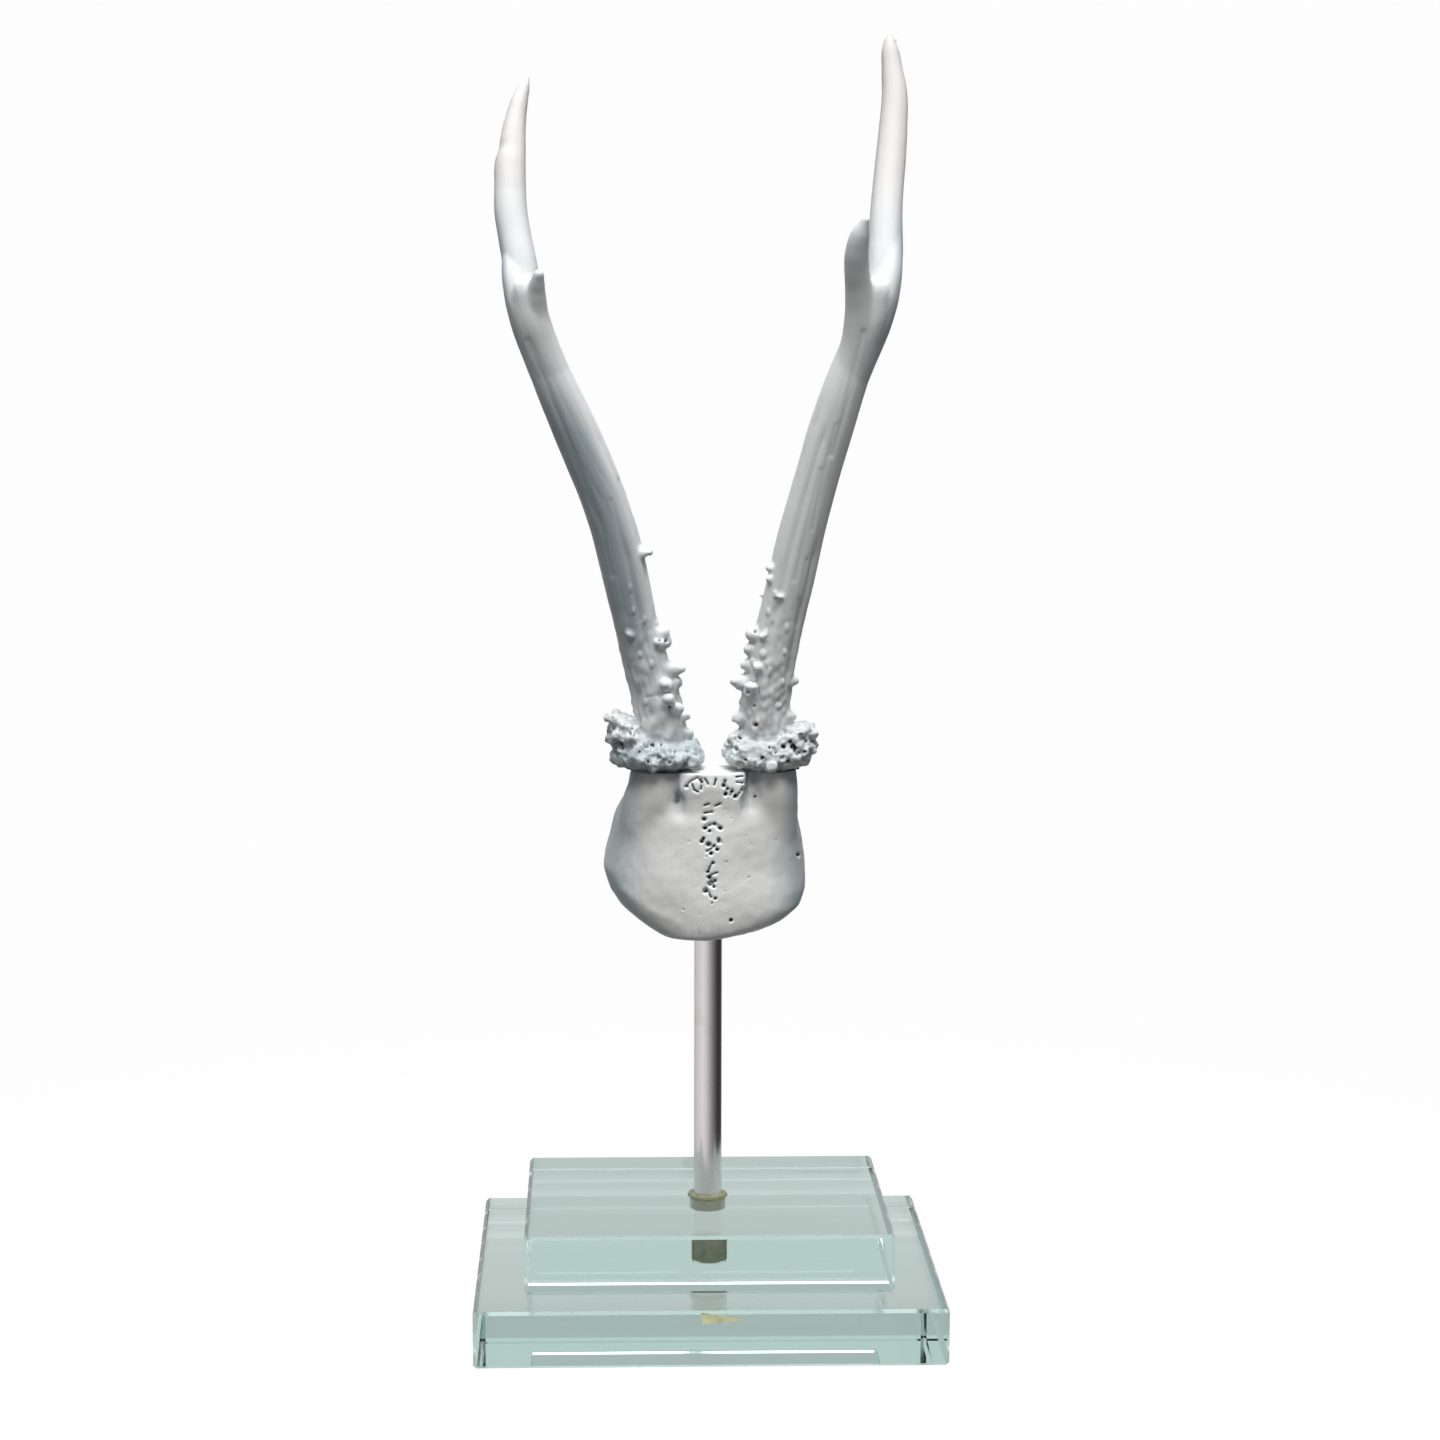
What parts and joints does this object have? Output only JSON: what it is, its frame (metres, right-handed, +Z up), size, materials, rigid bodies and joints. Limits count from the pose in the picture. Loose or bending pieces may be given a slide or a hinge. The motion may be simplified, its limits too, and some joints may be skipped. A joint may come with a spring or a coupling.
{
  "type": "antlers on a glass base",
  "caption": "A pair of roe deer antlers on their cut skull plate, painted off-white, held up by a polished metal rod on a base of two stacked clear glass slabs.",
  "frame": {"origin": "centre of the lower slab's underside, on the surface that the object stands on", "axes": "+Z up along the rod, +X to the viewer's right, the front of the skull plate at -Y"},
  "size_m": [0.151, 0.127, 0.42],
  "materials": {
    "painted_bone": "satin off-white paint on bone and antler",
    "polished_metal": "polished",
    "yellowed_glue": "aged clear glue",
    "clear_glass": "polished float glass with a green cast"
  },
  "bodies": {
    "root": {"skull_plate": "painted_bone", "left_antler": "painted_bone", "right_antler": "painted_bone", "rod": "polished_metal", "rod_glue": "yellowed_glue", "upper_glass_slab": "clear_glass", "lower_glass_slab": "clear_glass"}
  },
  "joints": []
}
